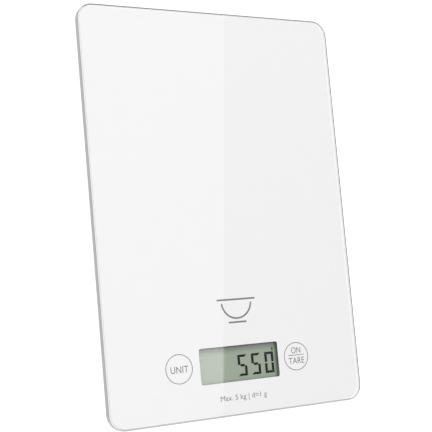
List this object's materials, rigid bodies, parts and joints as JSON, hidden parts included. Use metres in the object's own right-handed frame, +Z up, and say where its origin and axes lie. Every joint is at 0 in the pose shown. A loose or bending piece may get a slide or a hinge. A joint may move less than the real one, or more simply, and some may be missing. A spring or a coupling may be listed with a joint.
{
  "type": "kitchen scale",
  "caption": "Slim rectangular kitchen scale: a glass weighing platform with a window over its display and printed touch keys, on a shallow rear tray with load-cell feet.",
  "frame": {"origin": "on the table, under the middle of the platform", "axes": "+Z up out of the glass, -Y towards the edge with the display, +X to the right for someone reading the display"},
  "size_m": [0.14, 0.202, 0.016],
  "materials": {
    "clear_glass": "polished tempered glass with ground edges",
    "white_print": "white print seen through glass",
    "white_abs": "fine spark-eroded texture",
    "inner_abs": "moulded",
    "foam_tape": "closed-cell foam",
    "lcd_glass": "grey-green reflective display",
    "soft_rubber": "moulded rubber",
    "board_green": "solder mask on fibreglass",
    "black_epoxy": "potting epoxy",
    "component_body": "ceramic chip parts",
    "bright_steel": "rolled stainless",
    "nickel_plate": "nickel plated",
    "spring_brass": "gold-flashed spring metal",
    "label_stock": "blank silver label",
    "gauge_coating": "silicone coating",
    "wire_jacket": "PVC wire",
    "foot_rubber": "moulded anti-slip rubber",
    "grey_ink_print": "grey screen print behind the glass",
    "lcd_segment_ink": "dark liquid-crystal segments",
    "dark_abs": "moulded, dark"
  },
  "bodies": {
    "scale": {"glass_platform": "clear_glass", "backing_film": "white_print", "mounting_tape": "foam_tape", "rear_housing": "white_abs", "lcd_panel": "lcd_glass", "lcd_frame": "dark_abs", "lcd_gasket": "soft_rubber", "zebra_strips": "soft_rubber", "circuit_board": "board_green", "controller_chip": "black_epoxy", "smd_components": "component_body", "quartz_crystal": "nickel_plate", "touch_spring_unit": "spring_brass", "touch_spring_tare": "spring_brass", "coin_cell": "nickel_plate", "contact_positive": "spring_brass", "contact_negative": "spring_brass", "battery_leads": "wire_jacket", "rating_label": "label_stock", "board_screws": "bright_steel", "bracket_screws": "bright_steel", "strain_gauges": "gauge_coating", "load_cell_front_left": "bright_steel", "load_cell_front_right": "bright_steel", "load_cell_rear_left": "bright_steel", "load_cell_rear_right": "bright_steel", "sensor_bracket_front_left": "inner_abs", "sensor_bracket_front_right": "inner_abs", "sensor_bracket_rear_left": "inner_abs", "sensor_bracket_rear_right": "inner_abs", "sensor_lead_front_left": "wire_jacket", "sensor_lead_front_right": "wire_jacket", "sensor_lead_rear_left": "wire_jacket", "sensor_lead_rear_right": "wire_jacket"},
    "foot_front_left": {"foot_cap_front_left": "white_abs", "foot_pad_front_left": "foot_rubber"},
    "foot_front_right": {"foot_cap_front_right": "white_abs", "foot_pad_front_right": "foot_rubber"},
    "foot_rear_left": {"foot_cap_rear_left": "white_abs", "foot_pad_rear_left": "foot_rubber"},
    "foot_rear_right": {"foot_cap_rear_right": "white_abs", "foot_pad_rear_right": "foot_rubber"},
    "battery_door": {"battery_door": "white_abs"}
  },
  "joints": [
    {"name": "foot_press_front_left", "type": "slide", "parent": "scale", "child": "foot_front_left", "axis": [0, 0, 1], "range_m": [0, 0.0005], "stiffness_N_per_m": 24500, "deforming": ["load_cell_front_left"]},
    {"name": "foot_press_front_right", "type": "slide", "parent": "scale", "child": "foot_front_right", "axis": [0, 0, 1], "range_m": [0, 0.0005], "stiffness_N_per_m": 24500, "deforming": ["load_cell_front_right"]},
    {"name": "foot_press_rear_left", "type": "slide", "parent": "scale", "child": "foot_rear_left", "axis": [0, 0, 1], "range_m": [0, 0.0005], "stiffness_N_per_m": 24500, "deforming": ["load_cell_rear_left"]},
    {"name": "foot_press_rear_right", "type": "slide", "parent": "scale", "child": "foot_rear_right", "axis": [0, 0, 1], "range_m": [0, 0.0005], "stiffness_N_per_m": 24500, "deforming": ["load_cell_rear_right"]},
    {"name": "battery_door_turn", "type": "hinge", "parent": "scale", "child": "battery_door", "pos_m": [0, -0.036, 0.0024], "axis": [0, 0, 1], "range_deg": [0, 45]}
  ]
}
